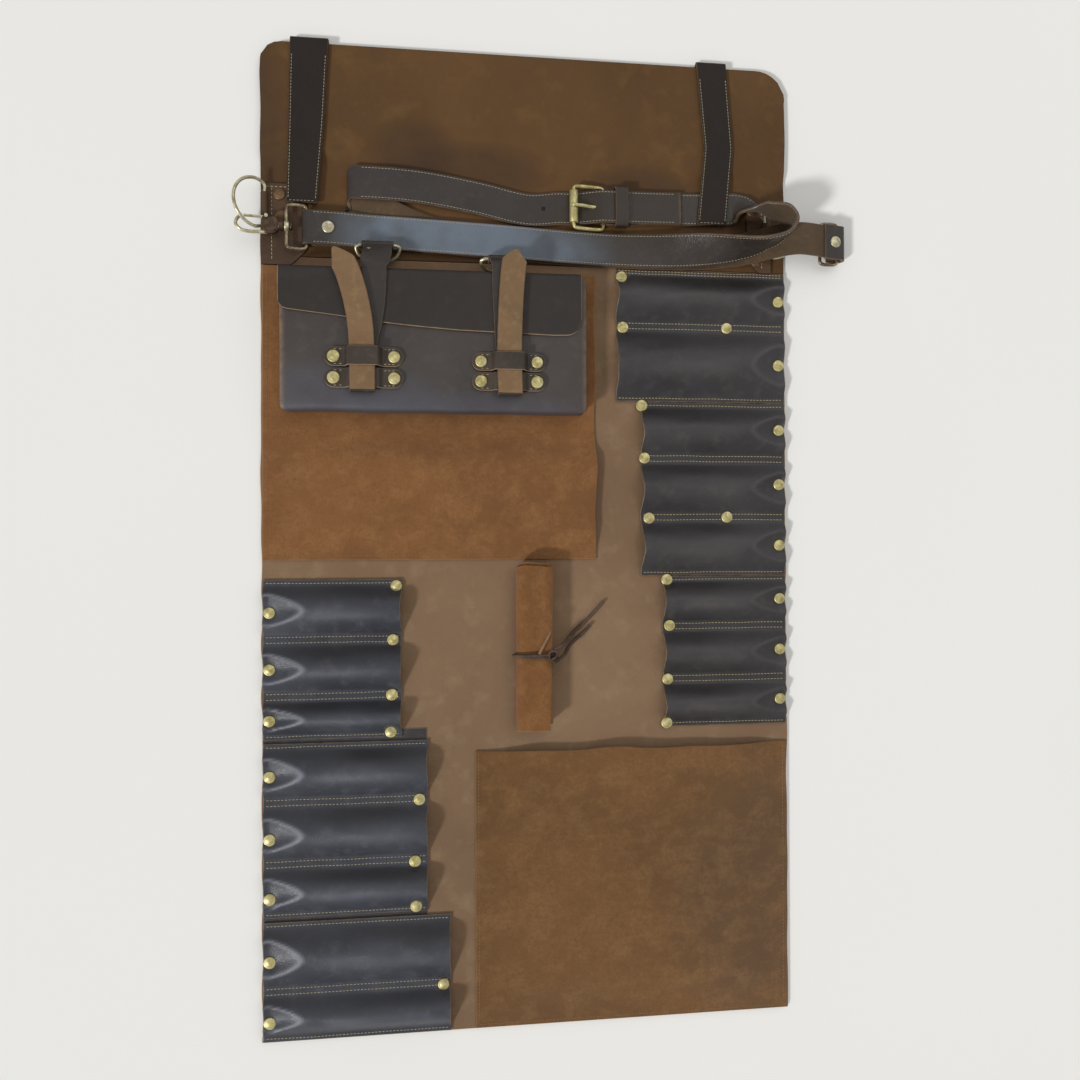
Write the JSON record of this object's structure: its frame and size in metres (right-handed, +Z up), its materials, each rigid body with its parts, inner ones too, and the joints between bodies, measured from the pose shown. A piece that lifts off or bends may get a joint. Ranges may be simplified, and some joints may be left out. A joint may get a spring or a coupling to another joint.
{
  "type": "carving tool roll",
  "caption": "Leather roll for carving tools, opened flat, with domed tool slots, suede pockets, a strapped pouch, closure straps and a buckled shoulder strap.",
  "frame": {"origin": "centre of the panel's width on its underside, the face that rests on the bench", "axes": "+X across the roll towards the right-hand slots, +Y along the roll towards the top flap, +Z up out of the panel"},
  "size_m": [0.5553, 0.8866, 0.049],
  "materials": {
    "taupe_leather": "waxed, matt",
    "umber_leather": "distressed, low sheen",
    "dark_leather": "pull-up grain, satin",
    "strap_leather": "polished grain, bluish sheen",
    "suede": "napped suede",
    "lace_leather": "matt lace",
    "brass": "aged, satin"
  },
  "bodies": {
    "panel": {"panel_main": "taupe_leather", "right_slots_top": "dark_leather", "right_slots_middle": "dark_leather", "right_slots_lower": "dark_leather", "left_slots_top": "dark_leather", "suede_pocket_upper": "suede", "tab_left": "umber_leather", "tab_right": "umber_leather", "shoulder_strap_buckle_half": "strap_leather", "shoulder_strap_holes_half": "strap_leather", "buckle_frame": "brass", "strap_keeper_loop": "strap_leather", "hook_eye_left": "brass", "hook_eye_right": "brass", "strap_rivet_left": "brass", "strap_rivet_right": "brass"},
    "flap": {"panel_flap": "umber_leather", "closure_anchor_left": "strap_leather", "closure_anchor_right": "strap_leather"},
    "closure_left": {"closure_strap_left": "strap_leather"},
    "closure_right": {"closure_strap_right": "strap_leather"},
    "lower": {"panel_lower": "taupe_leather", "left_slots_middle": "dark_leather", "suede_pocket_lower": "suede"},
    "bottom": {"panel_bottom": "taupe_leather", "left_slots_lower": "dark_leather", "suede_pocket_bottom": "suede"},
    "ring_left": {"d_ring_left": "brass"},
    "ring_right": {"d_ring_right": "brass"},
    "hook_left": {"snap_hook_left": "brass"},
    "hook_right": {"snap_hook_right": "brass"},
    "bolt_left": {"hook_bolt_left": "brass"},
    "bolt_right": {"hook_bolt_right": "brass"},
    "prong": {"buckle_prong": "brass"},
    "roller": {"buckle_roller": "brass"},
    "pouch": {"pouch_body": "dark_leather", "pouch_flap": "dark_leather", "pouch_strap_left": "strap_leather", "pouch_strap_right": "strap_leather", "keeper_band_left_upper": "strap_leather", "keeper_band_left_lower": "strap_leather", "keeper_band_right_upper": "strap_leather", "keeper_band_right_lower": "strap_leather", "keeper_rivet_left_upper_a": "brass", "keeper_rivet_left_upper_b": "brass", "keeper_rivet_left_lower_a": "brass", "keeper_rivet_left_lower_b": "brass", "keeper_rivet_right_upper_a": "brass", "keeper_rivet_right_upper_b": "brass", "keeper_rivet_right_lower_a": "brass", "keeper_rivet_right_lower_b": "brass"},
    "pouch_ring_left": {"pouch_ring_left": "brass"},
    "pouch_ring_right": {"pouch_ring_right": "brass"},
    "wrap": {"tool_wrap": "suede", "wrap_lace": "lace_leather", "lace_tail_upper": "lace_leather", "lace_tail_lower": "lace_leather"}
  },
  "joints": [
    {"name": "flap_fold", "type": "hinge", "parent": "panel", "child": "flap", "pos_m": [0, 0.34, 0.0048], "axis": [1, 0, 0], "range_deg": [0, 100]},
    {"name": "closure_left_open", "type": "hinge", "parent": "flap", "child": "closure_left", "pos_m": [-0.19775, 0.44265, 0.0078], "axis": [-1, 0, 0], "range_deg": [0, 180]},
    {"name": "closure_right_open", "type": "hinge", "parent": "flap", "child": "closure_right", "pos_m": [0.16875, 0.44265, 0.0078], "axis": [-1, 0, 0], "range_deg": [0, 180]},
    {"name": "lower_fold", "type": "hinge", "parent": "panel", "child": "lower", "pos_m": [0, -0.1755, 0.0048], "axis": [-1, 0, 0], "range_deg": [0, 80]},
    {"name": "bottom_fold", "type": "hinge", "parent": "lower", "child": "bottom", "pos_m": [0, -0.332, 0.0048], "axis": [-1, 0, 0], "range_deg": [0, 90]},
    {"name": "ring_left_swing", "type": "hinge", "parent": "panel", "child": "ring_left", "pos_m": [-0.2365, 0.2955, 0.0067], "axis": [0, 1, 0], "range_deg": [0, 4]},
    {"name": "ring_right_swing", "type": "hinge", "parent": "panel", "child": "ring_right", "pos_m": [0.22, 0.286, 0.0067], "axis": [0, -1, 0], "range_deg": [0, 3]},
    {"name": "hook_left_swivel", "type": "hinge", "parent": "panel", "child": "hook_left", "pos_m": [-0.2, 0.276, 0.0084], "axis": [-0.9912, 0, 0.1323], "range_deg": [-5, 5]},
    {"name": "hook_right_swivel", "type": "hinge", "parent": "panel", "child": "hook_right", "pos_m": [0.29, 0.279, 0.0089], "axis": [-1, 0, 0], "range_deg": [-3, 2]},
    {"name": "bolt_left_slide", "type": "slide", "parent": "hook_left", "child": "bolt_left", "axis": [0.9912, 0, -0.1323], "range_m": [0, 0.007], "stiffness_N_per_m": 50, "springref_m": -0.001},
    {"name": "bolt_right_slide", "type": "slide", "parent": "hook_right", "child": "bolt_right", "axis": [1, 0, 0], "range_m": [0, 0.007], "stiffness_N_per_m": 50, "springref_m": -0.001},
    {"name": "prong_swing", "type": "hinge", "parent": "panel", "child": "prong", "pos_m": [0.066, 0.3045, 0.0059], "axis": [0, 1, 0], "range_deg": [0, 50]},
    {"name": "roller_turn", "type": "hinge", "parent": "panel", "child": "roller", "pos_m": [0.038, 0.3045, 0.0094], "axis": [0, 1, 0], "continuous": true},
    {"name": "pouch_lift", "type": "slide", "parent": "panel", "child": "pouch", "axis": [0, 0, 1], "range_m": [0, 0.1]},
    {"name": "pouch_ring_left_swing", "type": "hinge", "parent": "pouch", "child": "pouch_ring_left", "pos_m": [-0.138, 0.261, 0.0134], "axis": [-1, 0, 0], "range_deg": [0, 15]},
    {"name": "pouch_ring_right_swing", "type": "hinge", "parent": "pouch", "child": "pouch_ring_right", "pos_m": [-0.028, 0.25, 0.0205], "axis": [-1, 0, 0], "range_deg": [0, 8]},
    {"name": "wrap_lift", "type": "slide", "parent": "panel", "child": "wrap", "axis": [0, 0, 1], "range_m": [0, 0.1]}
  ],
  "couplings": [
    {"joint": "closure_left_open", "follows": "flap_fold", "ratio": 1.8},
    {"joint": "closure_right_open", "follows": "flap_fold", "ratio": 1.8}
  ]
}
